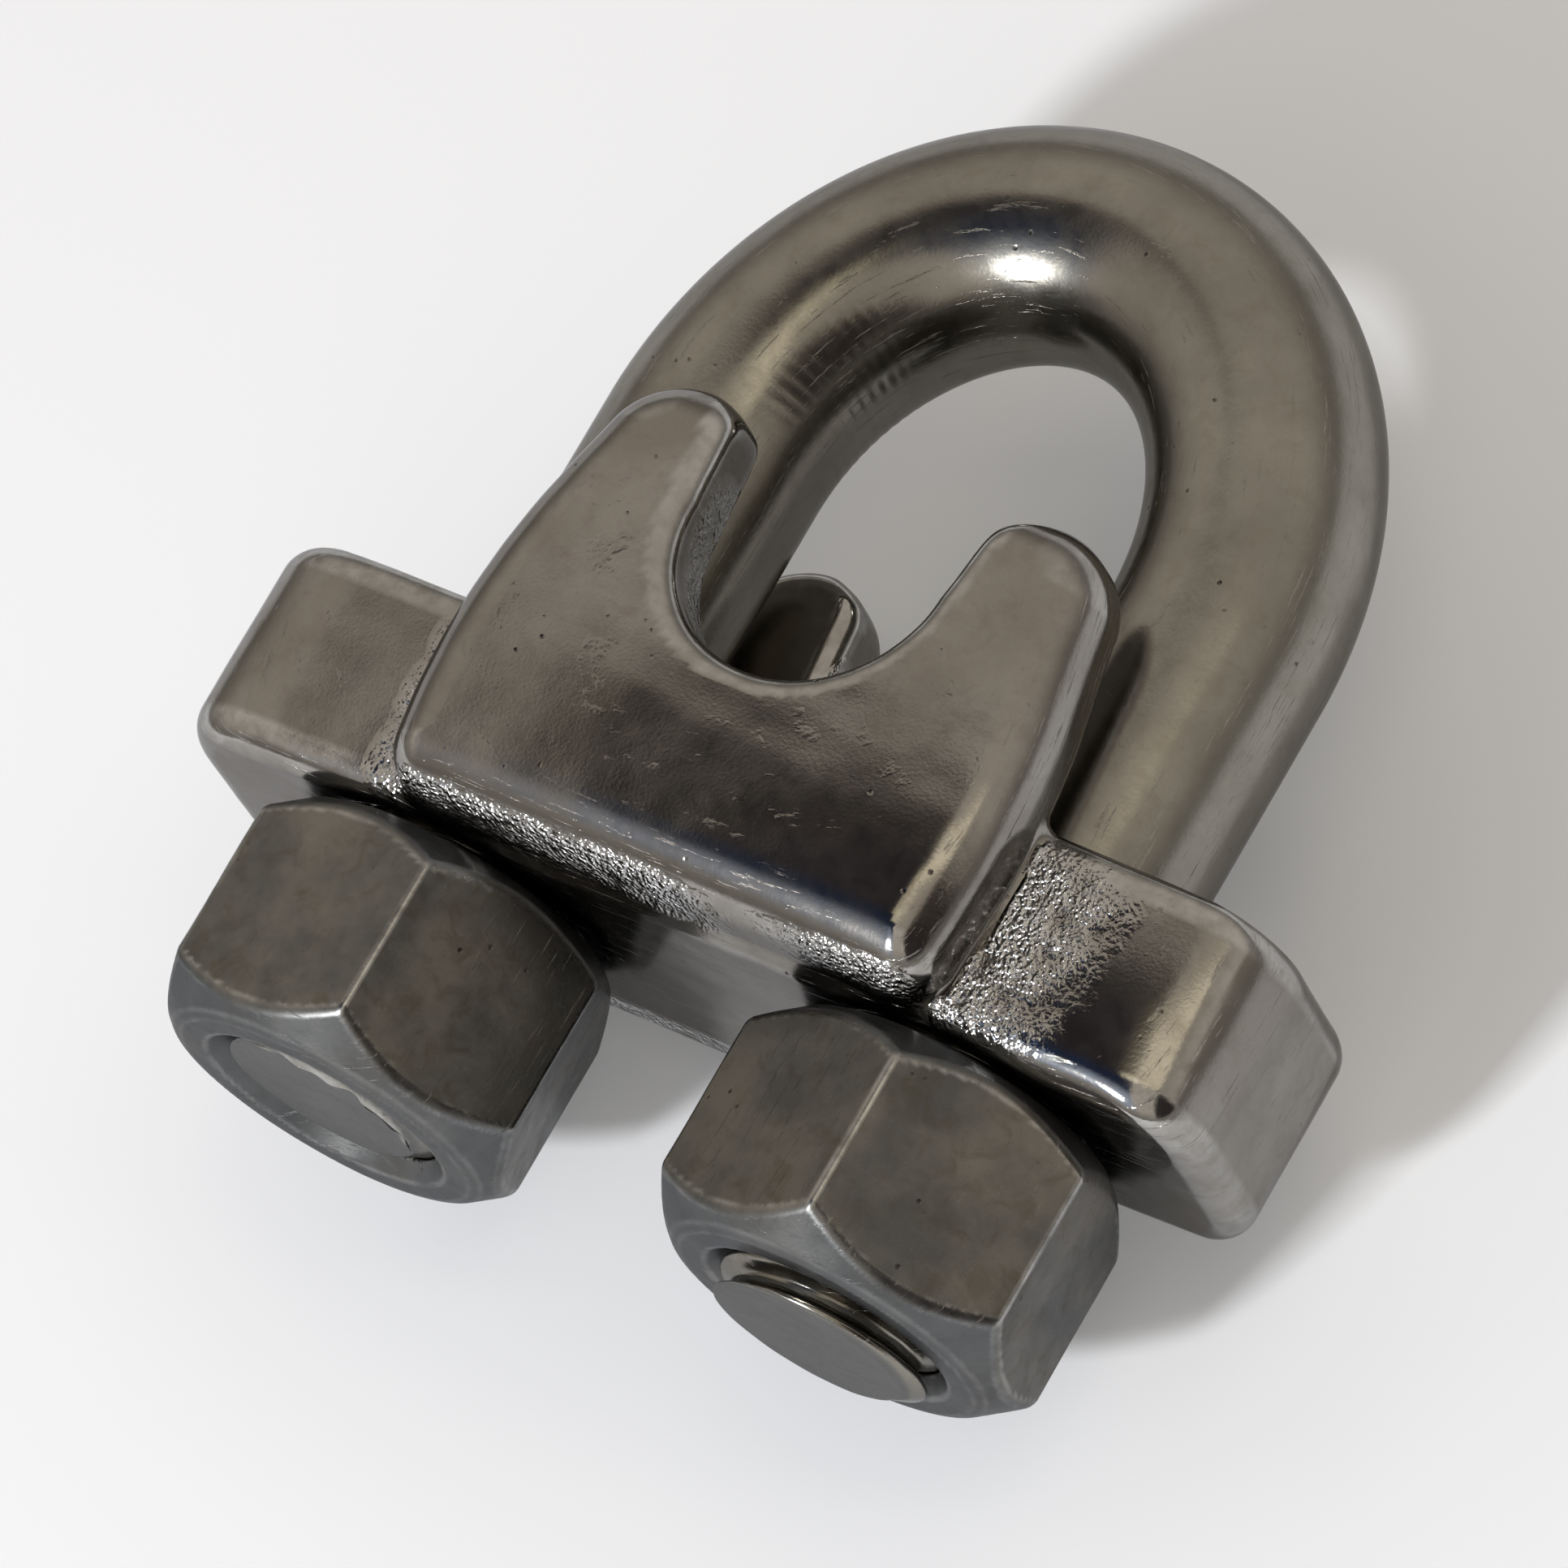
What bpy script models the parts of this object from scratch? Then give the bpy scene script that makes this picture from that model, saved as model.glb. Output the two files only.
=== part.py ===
"""Wire rope clip: cast saddle, bent U-bolt with threaded legs, and two hexagon nuts.

The clip lies on the rear faces of its saddle. +X runs from leg to leg, +Y along the legs toward
the bow of the U-bolt, and +Z up, which is the direction of the rope. Shapes are drawn in clip
coordinates: x = 0 midway between the legs, y = 0 on the underside of the base, where the nuts
seat, and z = 0 in the plane of the two legs. ORIGIN puts that point in the world.
All lengths are in metres.
"""
from math import cos, pi, radians, sin, sqrt, tan

import bmesh
import bpy
from mathutils import Matrix, Vector

MM = 0.001

# Driving dimensions
BAR_DIAMETER = 12.0 * MM
LEG_SPACING = 30.0 * MM
BASE_LENGTH = 60.2 * MM
BASE_DEPTH = 19.0 * MM
BASE_HEIGHT = 11.6 * MM
SADDLE_DEPTH = 28.0 * MM
SADDLE_HEIGHT = 25.2 * MM
BOW_CENTRE_Y = 25.8 * MM
BOW_RISE = 17.6 * MM
LEG_END_Y = {"left": -12.9 * MM, "right": -14.6 * MM}
THREAD_TOP_Y = 11.0 * MM
NUT_ACROSS_FLATS = 19.0 * MM
NUT_HEIGHT = 13.0 * MM
NUT_TURN = {"left": radians(-10.0), "right": radians(-21.6)}

# Base and walls of the saddle
BASE_CORNER = 6.5 * MM
BASE_EDGE = 2.2 * MM
HOLE_RADIUS = 6.8 * MM
WALL_THICKNESS = 6.0 * MM
WALL_EDGE = 1.6 * MM
WALL_FOOT = (16.0 * MM, 0.4 * MM)
WALL_WAIST = (17.0 * MM, 10.5 * MM)
FOOT_ROUND = 2.2 * MM
WAIST_ROUND = 12.0 * MM
HORN_OUTER_X = 13.9 * MM
HORN_INNER_X = 7.8 * MM
HORN_OUTER_ROUND = 3.2 * MM
HORN_INNER_ROUND = 2.2 * MM
NOTCH_RADIUS = 7.2 * MM
NOTCH_CENTRE_Y = 18.8 * MM

# Threads, clearances and cutters
FIT_GAP = 0.3 * MM
THREAD_RADIUS = 5.75 * MM
THREAD_RUNOUT = 1.0 * MM
LEG_CHAMFER = 1.3 * MM
LEG_END_RADIUS = 4.84 * MM
BORE_RADIUS = 6.1 * MM
BORE_MOUTH = 6.9 * MM
NUT_CHAMFER_RADIUS = 8.5 * MM
NUT_CHAMFER_DROP = 2.2 * MM
NUT_CHAMFER_OVERLAP = 0.5 * MM
CUT_MARGIN = 2.0 * MM

# How finely round shapes are divided
CORNER_STEPS = 5
WAIST_STEPS = 3
NOTCH_STEPS = 10
PLAN_CORNER_STEPS = 8
EDGE_RINGS = 2
BAR_RINGS = 6
BOW_STEPS = 32
HOLE_SIDES = 40
TURNED_SIDES = 48
SHARP_ANGLE = radians(40.0)
WELD_DISTANCE = 0.01 * MM

# Finish of each metal: colour and roughness
CAST_STAINLESS = ((0.46, 0.43, 0.39), 0.34)
BAR_STAINLESS = ((0.50, 0.47, 0.42), 0.26)
NUT_STAINLESS = ((0.42, 0.40, 0.36), 0.36)

# Worked out from them
BAR_RADIUS = BAR_DIAMETER / 2
SIDE_X = {"left": -LEG_SPACING / 2, "right": LEG_SPACING / 2}
BOW_TOP_Y = BOW_CENTRE_Y + BOW_RISE + BAR_RADIUS
ORIGIN = Vector((0.0, -(BOW_TOP_Y + min(LEG_END_Y.values())) / 2, SADDLE_DEPTH / 2))


def clear_scene():
    for item in list(bpy.data.objects):
        bpy.data.objects.remove(item, do_unlink=True)


def new_collection(name):
    collection = bpy.data.collections.new(name)
    bpy.context.scene.collection.children.link(collection)
    return collection


def metal(name, finish):
    colour, roughness = finish
    material = bpy.data.materials.new(name)
    material.use_nodes = True
    shader = material.node_tree.nodes["Principled BSDF"]
    shader.inputs["Base Color"].default_value = (*colour, 1.0)
    shader.inputs["Metallic"].default_value = 1.0
    shader.inputs["Roughness"].default_value = roughness
    return material


def keep_in(item, collection):
    for owner in list(item.users_collection):
        owner.objects.unlink(item)
    collection.objects.link(item)


def hide_cutter(item, cutters):
    keep_in(item, cutters)
    item.hide_render = True
    item.display_type = "WIRE"


def combine(item, other, operation):
    modifier = item.modifiers.new(operation.lower(), "BOOLEAN")
    modifier.operation = operation
    modifier.solver = "EXACT"
    modifier.object = other


def apply_location_rotation(item):
    """Write the object's matrix into its mesh, so that the object sits at the world origin."""
    bpy.context.view_layer.update()
    item.data.transform(item.matrix_world)
    item.matrix_world = Matrix.Identity(4)


def arc(centre, radius, start, end, steps):
    """Points along an arc; start and end are angles in radians."""
    angles = [start + (end - start) * step / steps for step in range(steps + 1)]
    return [Vector((centre[0] + radius * cos(a), centre[1] + radius * sin(a))) for a in angles]


def rounded_corner(before, corner, after, radius, steps=CORNER_STEPS):
    """Points of the arc that rounds the corner of an outline."""
    corner = Vector(corner)
    to_before = (Vector(before) - corner).normalized()
    to_after = (Vector(after) - corner).normalized()
    half_angle = to_before.angle(to_after) / 2
    inward = (to_before + to_after).normalized()
    centre = corner + inward * radius / sin(half_angle)
    first = corner + to_before * radius / tan(half_angle) - centre
    last = corner + to_after * radius / tan(half_angle) - centre
    sweep = first.angle_signed(last)
    return [centre + Matrix.Rotation(-sweep * step / steps, 2) @ first for step in range(steps + 1)]


def filled_outline(name, points, thickness, edge):
    """A flat outline in the XY plane, thickened along Z, with rounded edges of radius edge."""
    curve = bpy.data.curves.new(name, "CURVE")
    curve.dimensions = "2D"
    curve.fill_mode = "BOTH"
    curve.extrude = thickness / 2 - edge
    curve.bevel_depth = edge
    curve.bevel_resolution = EDGE_RINGS
    curve.offset = -edge
    spline = curve.splines.new("POLY")
    spline.points.add(len(points) - 1)
    for knot, point in zip(spline.points, points):
        knot.co = (point[0], point[1], 0.0, 1.0)
    spline.use_cyclic_u = True
    item = bpy.data.objects.new(name, curve)
    bpy.context.scene.collection.objects.link(item)
    return item


def curve_to_mesh(item, name):
    """Replace a curve object by a closed mesh object in the same place."""
    bpy.context.view_layer.update()
    graph = bpy.context.evaluated_depsgraph_get()
    mesh = bpy.data.meshes.new_from_object(item.evaluated_get(graph))
    solid = bpy.data.objects.new(name, mesh)
    solid.matrix_world = item.matrix_world
    bpy.context.scene.collection.objects.link(solid)
    bpy.data.objects.remove(item, do_unlink=True)
    cage = bmesh.new()
    cage.from_mesh(mesh)
    bmesh.ops.remove_doubles(cage, verts=cage.verts, dist=WELD_DISTANCE)
    bmesh.ops.recalc_face_normals(cage, faces=cage.faces)
    cage.to_mesh(mesh)
    cage.free()
    return solid


def wall_outline():
    """Front view of a wall: two horns with the round-bottomed rope notch between them."""
    foot = Vector(WALL_FOOT)
    waist = Vector(WALL_WAIST)
    horn_outer = Vector((HORN_OUTER_X, SADDLE_HEIGHT))
    horn_inner = Vector((HORN_INNER_X, SADDLE_HEIGHT))
    notch_side = Vector((NOTCH_RADIUS, NOTCH_CENTRE_Y))
    mirrored_foot = Vector((-WALL_FOOT[0], WALL_FOOT[1]))
    right = rounded_corner(mirrored_foot, foot, waist, FOOT_ROUND)
    right += rounded_corner(foot, waist, horn_outer, WAIST_ROUND, WAIST_STEPS)
    right += rounded_corner(waist, horn_outer, horn_inner, HORN_OUTER_ROUND)
    right += rounded_corner(horn_outer, horn_inner, notch_side, HORN_INNER_ROUND)
    right += arc((0.0, NOTCH_CENTRE_Y), NOTCH_RADIUS, 0.0, -pi / 2, NOTCH_STEPS)
    left = [Vector((-point.x, point.y)) for point in reversed(right[:-1])]
    return right + left


def base_outline():
    """Plan of the base: an oblong with rounded corners."""
    corner_x = BASE_LENGTH / 2 - BASE_CORNER
    corner_z = BASE_DEPTH / 2 - BASE_CORNER
    centres = ((corner_x, corner_z), (-corner_x, corner_z), (-corner_x, -corner_z), (corner_x, -corner_z))
    points = []
    for quarter, centre in enumerate(centres):
        start = quarter * pi / 2
        points += arc(centre, BASE_CORNER, start, start + pi / 2, PLAN_CORNER_STEPS)
    return points


def make_saddle(model, cutters):
    base = filled_outline("base_outline", base_outline(), BASE_HEIGHT, BASE_EDGE)
    base.rotation_euler = (radians(90.0), 0.0, 0.0)
    base.location = ORIGIN + Vector((0.0, BASE_HEIGHT / 2, 0.0))
    saddle = curve_to_mesh(base, "saddle")
    apply_location_rotation(saddle)
    keep_in(saddle, model)
    for name, side in (("front_wall", 1), ("rear_wall", -1)):
        outline = filled_outline(name, wall_outline(), WALL_THICKNESS, WALL_EDGE)
        outline.location = ORIGIN + Vector((0.0, 0.0, side * (SADDLE_DEPTH - WALL_THICKNESS) / 2))
        wall = curve_to_mesh(outline, name)
        hide_cutter(wall, cutters)
        combine(saddle, wall, "UNION")
    for side, leg_x in SIDE_X.items():
        bpy.ops.mesh.primitive_cylinder_add(
            vertices=HOLE_SIDES,
            radius=HOLE_RADIUS,
            depth=BASE_HEIGHT + 2 * CUT_MARGIN,
            location=ORIGIN + Vector((leg_x, BASE_HEIGHT / 2, 0.0)),
            rotation=(radians(90.0), 0.0, 0.0),
        )
        hole = bpy.context.object
        hole.name = side + "_leg_hole"
        hide_cutter(hole, cutters)
        combine(saddle, hole, "DIFFERENCE")
    saddle.data.materials.clear()
    saddle.data.materials.append(metal("cast_stainless", CAST_STAINLESS))
    return saddle


def leg_profile(end_y):
    """Stations up a leg as (y, radius): chamfered end, thread, run-out, plain shank."""
    return [
        (end_y, LEG_END_RADIUS),
        (end_y + LEG_CHAMFER, THREAD_RADIUS),
        (THREAD_TOP_Y, THREAD_RADIUS),
        (THREAD_TOP_Y + THREAD_RUNOUT, BAR_RADIUS),
        (BOW_CENTRE_Y, BAR_RADIUS),
    ]


def make_u_bolt(model):
    """One round bar: up the right leg, round the half-elliptical bow, down the left leg."""
    stations = [(SIDE_X["right"], y, radius) for y, radius in leg_profile(LEG_END_Y["right"])]
    for step in range(1, BOW_STEPS):
        angle = pi * step / BOW_STEPS
        bow_x = SIDE_X["right"] * cos(angle)
        stations.append((bow_x, BOW_CENTRE_Y + BOW_RISE * sin(angle), BAR_RADIUS))
    left = [(SIDE_X["left"], y, radius) for y, radius in leg_profile(LEG_END_Y["left"])]
    stations += reversed(left)
    curve = bpy.data.curves.new("u_bolt_line", "CURVE")
    curve.dimensions = "3D"
    curve.bevel_depth = BAR_RADIUS
    curve.bevel_resolution = BAR_RINGS
    curve.use_fill_caps = True
    spline = curve.splines.new("POLY")
    spline.points.add(len(stations) - 1)
    for knot, (x, y, radius) in zip(spline.points, stations):
        knot.co = (x, y, 0.0, 1.0)
        knot.radius = radius / BAR_RADIUS
    line = bpy.data.objects.new("u_bolt_line", curve)
    line.location = ORIGIN
    bpy.context.scene.collection.objects.link(line)
    u_bolt = curve_to_mesh(line, "u_bolt")
    keep_in(u_bolt, model)
    u_bolt.data.materials.append(metal("bar_stainless", BAR_STAINLESS))
    u_bolt.data.shade_smooth()
    u_bolt.data.set_sharp_from_angle(angle=SHARP_ANGLE)
    return u_bolt


def turned_solid(name, profile, axis_x):
    """A Screw of a (radius, y) profile, listed top to bottom, round a leg's axis."""
    mesh = bpy.data.meshes.new(name)
    points = [(radius, y, 0.0) for radius, y in profile]
    edges = [(index, index + 1) for index in range(len(points) - 1)]
    mesh.from_pydata(points, edges, [])
    solid = bpy.data.objects.new(name, mesh)
    solid.location = ORIGIN + Vector((axis_x, 0.0, 0.0))
    bpy.context.scene.collection.objects.link(solid)
    screw = solid.modifiers.new("turn", "SCREW")
    screw.axis = "Y"
    screw.steps = TURNED_SIDES
    screw.render_steps = TURNED_SIDES
    screw.use_merge_vertices = True
    screw.merge_threshold = WELD_DISTANCE
    screw.use_smooth_shade = False
    return solid


def make_nut(side, material, model, cutters):
    axis_x = SIDE_X[side]
    top_y = -FIT_GAP
    bottom_y = top_y - NUT_HEIGHT
    corner_radius = NUT_ACROSS_FLATS / sqrt(3.0)
    bpy.ops.mesh.primitive_cylinder_add(vertices=6, radius=corner_radius, depth=NUT_HEIGHT)
    nut = bpy.context.object
    nut.name = "nut_" + side
    nut.data.name = nut.name
    nut.data.transform(Matrix.Rotation(radians(90.0), 4, "Z"))
    nut.data.transform(Matrix.Rotation(radians(90.0), 4, "X"))
    nut.data.transform(Matrix.Translation((0.0, (top_y + bottom_y) / 2, 0.0)))
    nut.location = ORIGIN + Vector((axis_x, 0.0, 0.0))
    nut.rotation_euler = (0.0, NUT_TURN[side], 0.0)
    keep_in(nut, model)

    chamfer_wide = corner_radius + NUT_CHAMFER_OVERLAP
    slope = NUT_CHAMFER_DROP / (corner_radius - NUT_CHAMFER_RADIUS)
    wide_drop = slope * (chamfer_wide - NUT_CHAMFER_RADIUS)
    outer = [
        (0.0, top_y),
        (NUT_CHAMFER_RADIUS, top_y),
        (chamfer_wide, top_y - wide_drop),
        (chamfer_wide, bottom_y + wide_drop),
        (NUT_CHAMFER_RADIUS, bottom_y),
        (0.0, bottom_y),
    ]
    chamfers = turned_solid(nut.name + "_chamfers", outer, axis_x)
    hide_cutter(chamfers, cutters)
    combine(nut, chamfers, "INTERSECT")

    mouth_drop = BORE_MOUTH - BORE_RADIUS
    bore = [
        (0.0, top_y + CUT_MARGIN),
        (BORE_MOUTH, top_y + CUT_MARGIN),
        (BORE_MOUTH, top_y),
        (BORE_RADIUS, top_y - mouth_drop),
        (BORE_RADIUS, bottom_y + mouth_drop),
        (BORE_MOUTH, bottom_y),
        (BORE_MOUTH, bottom_y - CUT_MARGIN),
        (0.0, bottom_y - CUT_MARGIN),
    ]
    hole = turned_solid(nut.name + "_bore", bore, axis_x)
    hide_cutter(hole, cutters)
    combine(nut, hole, "DIFFERENCE")
    nut.data.materials.append(material)
    return nut


def main():
    clear_scene()
    model = new_collection("wire_rope_clip")
    cutters = new_collection("cutters")
    make_saddle(model, cutters)
    make_u_bolt(model)
    nut_metal = metal("nut_stainless", NUT_STAINLESS)
    for side in SIDE_X:
        make_nut(side, nut_metal, model, cutters)


main()
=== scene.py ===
"""Looks of the wire rope clip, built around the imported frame.

Shapes are worked out in clip millimetres: x = 0 midway between the legs, y = 0 on the underside
of the saddle's base, z = 0 in the plane of the legs. to_world() puts them into the frame.
The saddle and the nuts are distance fields turned into meshes; the U-bolt is a swept bar with a
cut right-hand thread on both legs.
"""
from math import pi, radians, sqrt

import bpy
import numpy as np
from mathutils import Matrix, Vector


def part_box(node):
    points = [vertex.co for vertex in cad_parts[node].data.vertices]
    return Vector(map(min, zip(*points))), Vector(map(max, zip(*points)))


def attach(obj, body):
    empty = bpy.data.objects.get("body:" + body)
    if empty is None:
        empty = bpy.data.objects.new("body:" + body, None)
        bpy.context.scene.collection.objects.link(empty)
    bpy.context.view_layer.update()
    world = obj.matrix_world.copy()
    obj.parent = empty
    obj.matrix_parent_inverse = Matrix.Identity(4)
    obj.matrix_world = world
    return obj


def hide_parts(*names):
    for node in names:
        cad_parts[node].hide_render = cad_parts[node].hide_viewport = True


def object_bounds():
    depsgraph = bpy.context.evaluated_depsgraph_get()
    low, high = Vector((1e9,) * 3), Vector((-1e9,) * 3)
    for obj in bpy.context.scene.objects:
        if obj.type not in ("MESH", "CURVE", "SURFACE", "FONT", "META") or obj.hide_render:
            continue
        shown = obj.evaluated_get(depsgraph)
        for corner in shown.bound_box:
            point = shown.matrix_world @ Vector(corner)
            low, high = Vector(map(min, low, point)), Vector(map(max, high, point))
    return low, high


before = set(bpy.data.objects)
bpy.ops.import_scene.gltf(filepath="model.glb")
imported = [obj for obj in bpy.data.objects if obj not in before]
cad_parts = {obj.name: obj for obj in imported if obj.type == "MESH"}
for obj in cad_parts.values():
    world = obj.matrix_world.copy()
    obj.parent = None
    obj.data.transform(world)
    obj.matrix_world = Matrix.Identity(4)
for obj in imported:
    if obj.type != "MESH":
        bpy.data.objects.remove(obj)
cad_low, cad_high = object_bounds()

MM = 0.001
UP = (0.0, 0.0, 1.0)
RIGHT = (1.0, 0.0, 0.0)
LEFT = (-1.0, 0.0, 0.0)
FRONT = (0.0, -1.0, 0.0)

# Places and main sizes, from the frame, in millimetres
saddle_low, saddle_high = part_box("saddle")
bolt_low, bolt_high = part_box("u_bolt")
nut_low, nut_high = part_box("nut_right")
CLIP_ORIGIN = Vector(
    ((saddle_low.x + saddle_high.x) / 2, saddle_low.y, (saddle_low.z + saddle_high.z) / 2)
)
BASE_LENGTH = (saddle_high.x - saddle_low.x) / MM
SADDLE_HEIGHT = (saddle_high.y - saddle_low.y) / MM
SADDLE_DEPTH = (saddle_high.z - saddle_low.z) / MM
BAR_RADIUS = (bolt_high.z - bolt_low.z) / MM / 2
LEG_X = (bolt_high.x - bolt_low.x) / MM / 2 - BAR_RADIUS
BOW_TOP = (bolt_high.y - CLIP_ORIGIN.y) / MM
RIGHT_END_Y = (bolt_low.y - CLIP_ORIGIN.y) / MM
NUT_TOP = (nut_high.y - CLIP_ORIGIN.y) / MM
NUT_BOTTOM = (nut_low.y - CLIP_ORIGIN.y) / MM

# Saddle
BASE_DEPTH = 19.0
BASE_HEIGHT = 11.6
BASE_CORNER = 6.5
BASE_EDGE = 1.7
FLANK_BULGE = 0.3
FLANK_EDGE = 1.5
HOLE_RADIUS = 6.8
HOLE_EDGE = 0.8
WALL_INNER_Z = 8.0
WALL_FOOT = (16.0, 0.4)
WALL_WAIST = (17.0, 10.5)
WAIST_BLEND = 2.0
HORN_OUTER_X = 13.9
HORN_TIP = 3.5
HORN_INNER_TIP = 2.2
LIP_SHARE = 0.9
BLOCK_FOOT_EDGE = 2.2
FRONT_EDGE = 3.0
INNER_EDGE = 1.2
NOTCH_RADIUS = 7.1
NOTCH_CENTRE_Y = 18.9
NOTCH_FLARE = 0.1
NOTCH_EDGE = 1.4
JUNCTION_FILLET = 0.9
CROWN_Y = 12.0
UPPER_CROWN = 0.0040
LOWER_CROWN = 0.0064
FRONT_CROWN = 0.0016
FLANK_CROWN = 0.0012
SWELL = {"length": 9.0, "seed": 3}
SWELL_DEPTH = 0.035
DIMPLES = {"length": 3.5, "seed": 4}
DIMPLE_DEPTH = 0.012
SADDLE_BENDS = (0.35, 0.9)
SADDLE_STEP = 0.34

# Rough cast skin left on the saddle
SKIN_REACH = {"left": 2.2, "right": 6.5}
SKIN_FULL = 0.25
SKIN_NONE = 1.25
SKIN_Z = (7.5, 9.0)
SKIN_Y = (BASE_HEIGHT - 0.4, BASE_HEIGHT - 2.0)
SKIN_INNER_X = WALL_FOOT[0] - 0.2
WALL_CLEARANCE = 0.3
SEAM = {"length": 11.0, "seed": 8}
SEAM_MEAN = 0.70
SEAM_SWING = 0.60
SEAM_Y = (1.3, 0.8)
SEAM_INNER_Z = (8.0, 9.5)
SEAM_OUTER_Z = (12.4, 11.6)
SEAM_END_X = WALL_FOOT[0] + 1.5
SEAT_SKIN = 0.5
SEAT_BAND = (0.9, 0.4)
SEAT_Z = (12.4, 10.9)

# U-bolt
LEFT_END_Y = -12.9
BOW_CENTRE_Y = 25.8
LEGS = (("right", 1, RIGHT_END_Y), ("left", -1, LEFT_END_Y))
PITCH = 1.75
CREST_RADIUS = 5.93
ROOT_RADIUS = 5.02
CREST_SHARE = 0.07
ROOT_SHARE = 0.36
STRAIGHT_SHARE = 0.6
THREAD_TOP = 10.2
THREAD_RUNOUT = 1.2
THREAD_SHIFT = -0.5
AROUND = 112
RIM_RINGS = 8
RIM_START = 0.05
RINGS_PER_PITCH = 15
RING_GAP = 0.06
SHANK_RINGS = 24
SHANK_GAP = 0.1
BOW_RINGS = 240
SHARP_ANGLE = 60.0

# Sheared ends of the legs: teeth are the count around, height and phase of each wave
END_FILLET = 0.35
END_RAGGED = 0.035
END_LOBES = 3
END_TEETH = ((7, 0.6, 0.0), (13, 0.4, 0.0))
END_SHARES = (0.02, 0.35, 0.7, 0.84, 0.90, 0.95, 0.99)
END_DISH = 0.05
END_MARGIN = 0.04
END_BAND = (0.2, 0.1)
# Height above each sheared end over which the rim is painted lighter: partly rubbed wear, partly a painted
# highlight on the rim
END_WEAR_AND_HIGHLIGHT = 0.12
BURR_HEIGHT = 0.38
BURR_MEAN = 0.60
BURR_TEETH = ((7, 0.22, 0.0), (15, 0.18, 1.0))
BURR_MIDDLE = {"left": 0.75, "right": 1.95}
BURR_HALF = {"left": 1.25, "right": 0.30}
BURR_DEPTH = 0.55
BURR_INNER = 0.86
BURR_LEAN = {"left": 1.0, "right": 0.0}
BURR_SPREAD = {"left": 0.2, "right": 0.7}

# Marks of the bending former, in degrees round the bow
CHATTER_DEPTH = 0.05
CHATTER_FROM = 138.0
CHATTER_TO = 176.0
CHATTER_WAVES = 12
CHATTER_LIMIT = 0.5
CHATTER_SKEW = 0.35
CHATTER_BENDS = 3

# Nuts
ACROSS_FLATS = 19.0
NUT_TURN = {"left": 10.0, "right": 21.6}
NUT_CORNER = 0.35
CHAMFER_RADIUS = 8.5
CHAMFER_DROP = 2.2
NUT_EDGE = 0.32
THREAD_CLEARANCE = 0.13
THREAD_EDGE = 0.12
THREAD_SLOPE = 0.8
MOUTH_RADIUS = 6.75
NUT_SWELL = {"length": 7.0, "seed": 11}
NUT_SWELL_DEPTH = 0.02
NUT_SWELL_REACH = (7.0, 9.0)
NUT_BENDS = (1.0, 2.8)
NUT_FACE_SLOPES = (0.35, 0.55)
NUT_STEP = 0.22

# Waviness, and the settling of a field's vertices onto its surface
WAVES = 7
WAVE_SPREAD = (0.7, 1.4)
WAVE_PEAK = 1.5
SETTLE_ROUNDS = 4
LEAST_SLOPE = 0.2

# Metals: tones, roughness, share of stain, and the way the scratches run
METALS = {
    "cast_steel": {
        "light": (0.302, 0.288, 0.267),
        "dark": (0.245, 0.230, 0.208),
        "stain": (0.180, 0.159, 0.137),
        "rough": 0.155,
        "stained": 0.35,
        "scratch_turn": (0.4, 0.9, 0.2),
        "cast": True,
    },
    "bar_steel": {
        "light": (0.293, 0.28, 0.247),
        "dark": (0.24, 0.227, 0.20),
        "stain": (0.187, 0.167, 0.127),
        "rough": 0.22,
        "stained": 0.35,
        "scratch_turn": (1.57, 0.3, 0.0),
    },
    "nut_steel": {
        "light": (0.207, 0.196, 0.176),
        "dark": (0.118, 0.120, 0.118),
        "stain": (0.105, 0.086, 0.055),
        "rough": 0.30,
        "stained": 0.55,
        "scratch_turn": (0.2, 0.5, 0.9),
    },
}
GRIME = (0.16, 0.14, 0.12)
PIT_DARK = (0.05, 0.04, 0.035)
MACHINED_GREY = (0.11, 0.12, 0.13)
# Lighter grey for convex edges: partly rubbed wear, partly a painted edge highlight
RUBBED_AND_HIGHLIGHT_GREY = (0.55, 0.55, 0.54)
SKIN_GREY = (0.72, 0.73, 0.74)
GRAZING_TINT = (0.55, 0.55, 0.56, 1.0)

# Texture scales in features per metre, sizes in features, and bump depths in metres
CLOUD_SCALE = 150.0
DENT_SCALE = 260.0
PIT_FIELD_SCALE = 260.0
MOTTLE_SCALE = 620.0
SKIN_BREAK_SCALE = 650.0
PIT_SCALE = 900.0
# Patches of the lighter edges, which are partly rubbed wear and partly a painted edge highlight
RUB_AND_HIGHLIGHT_SCALE = 900.0
SKIN_NOISE_SCALE = 2400.0
SKIN_GRAIN_SCALE = 4600.0
GRAIN_SCALE = 5200.0
SCRATCH_SCALE = (300.0, 300.0, 9000.0)
PIT_SIZE = 0.15
PIT_CORE = 0.4
SKIN_GRAIN_SIZE = 0.8
DENT_DEPTH = 0.00008
GRAIN_DEPTH = 0.000013
SCRATCH_DEPTH = 0.00002
PIT_DEPTH = 0.00003
SKIN_DEPTH = 0.00021

# Where each texture begins and is full, and what it does to the metal
CLOUD_RANGE = (0.38, 0.62)
STAIN_RANGE = (0.5, 0.72)
GRIME_RANGE = (0.35, 0.65)
GRIME_SHARE = 0.10
PIT_RANGE = (0.56, 0.64)
PIT_SHARE = 0.85
SCRATCH_RANGE = (0.62, 0.72)
SCRATCH_ROUGHNESS = 0.10
ROUGH_RANGE = (0.3, 0.7)
ROUGH_LEAST = 0.8
ROUGH_MOST = 1.25
MACHINED_SHARE = 0.6
MACHINED_ROUGHNESS = 0.12
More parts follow.
